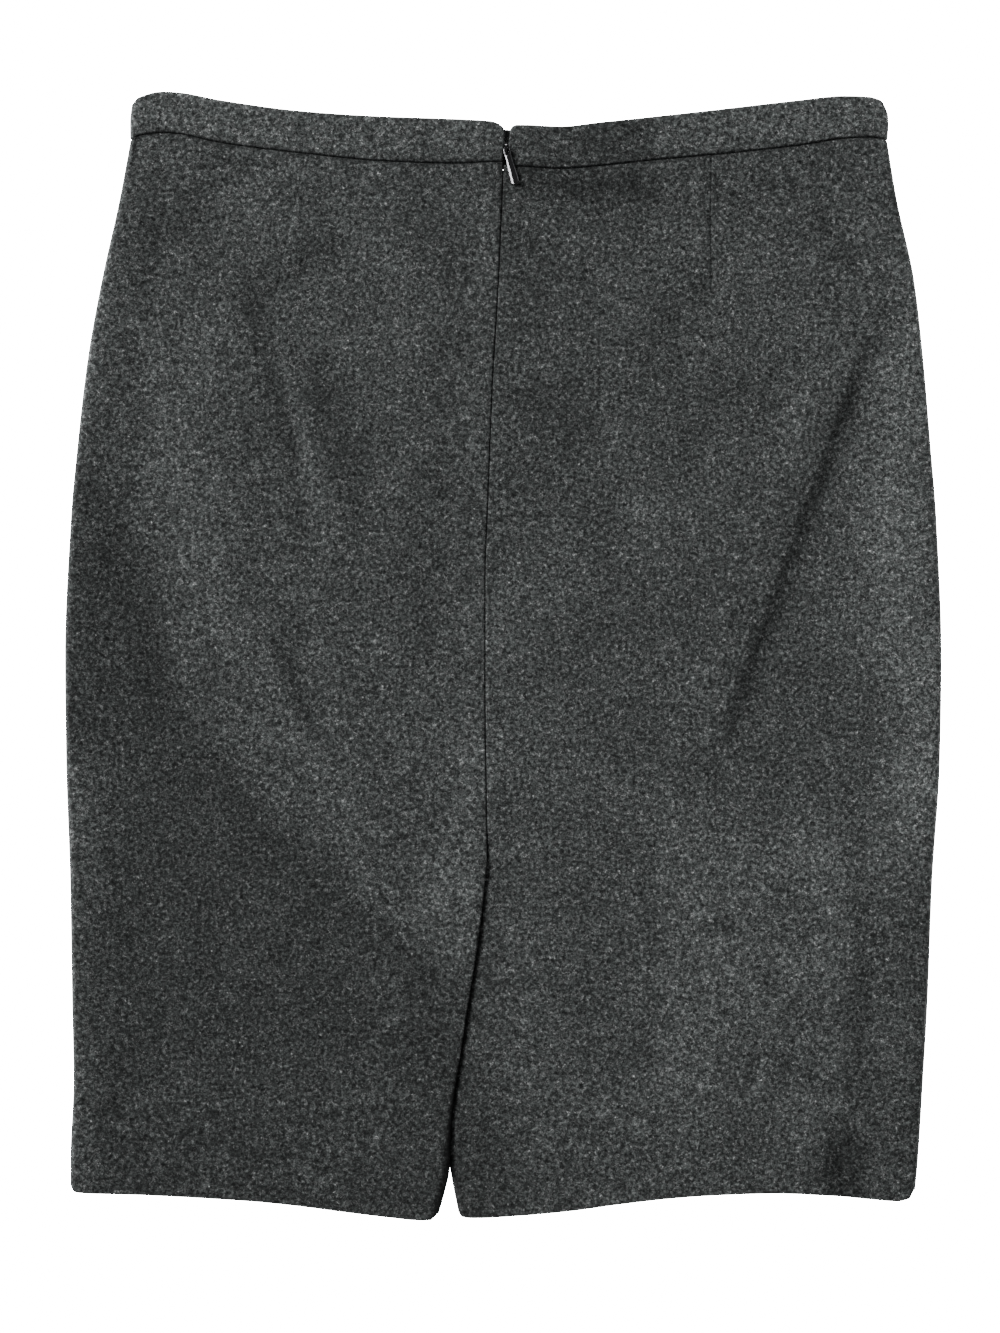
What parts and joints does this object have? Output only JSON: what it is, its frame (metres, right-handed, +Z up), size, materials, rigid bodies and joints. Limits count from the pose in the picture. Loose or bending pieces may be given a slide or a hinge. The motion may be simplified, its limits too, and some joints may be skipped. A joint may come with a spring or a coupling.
{
  "type": "pencil skirt",
  "caption": "Knee-length pencil skirt in dark grey melange wool flannel, lying flat back up, with contour waistband, concealed back zip, darts and a lapped hem vent.",
  "frame": {"origin": "on the surface that the skirt lies on, under the middle of its outline", "axes": "+Y from the hem to the waist, +X to the right as seen from above with the back of the skirt upwards, +Z up from the surface"},
  "size_m": [0.4816, 0.6199, 0.0103],
  "materials": {
    "wool_flannel": "charcoal melange wool flannel, brushed, matt",
    "zip_tape": "black woven polyester tape",
    "zip_metal": "polished black nickel"
  },
  "bodies": {
    "skirt": {"front_panel": "wool_flannel", "back_panel_left": "wool_flannel", "back_panel_right": "wool_flannel", "waistband_front": "wool_flannel", "waistband_back_left": "wool_flannel", "waistband_back_right": "wool_flannel", "zip_tape_left": "zip_tape", "zip_tape_right": "zip_tape", "zip_slider": "zip_metal"},
    "pull": {"zip_pull": "zip_metal"}
  },
  "joints": [
    {"name": "pull_hinge", "type": "hinge", "parent": "skirt", "child": "pull", "pos_m": [0.0015, 0.2784, 0.0089], "axis": [-0.9681, -0.2504, 0], "range_deg": [0, 165]}
  ]
}
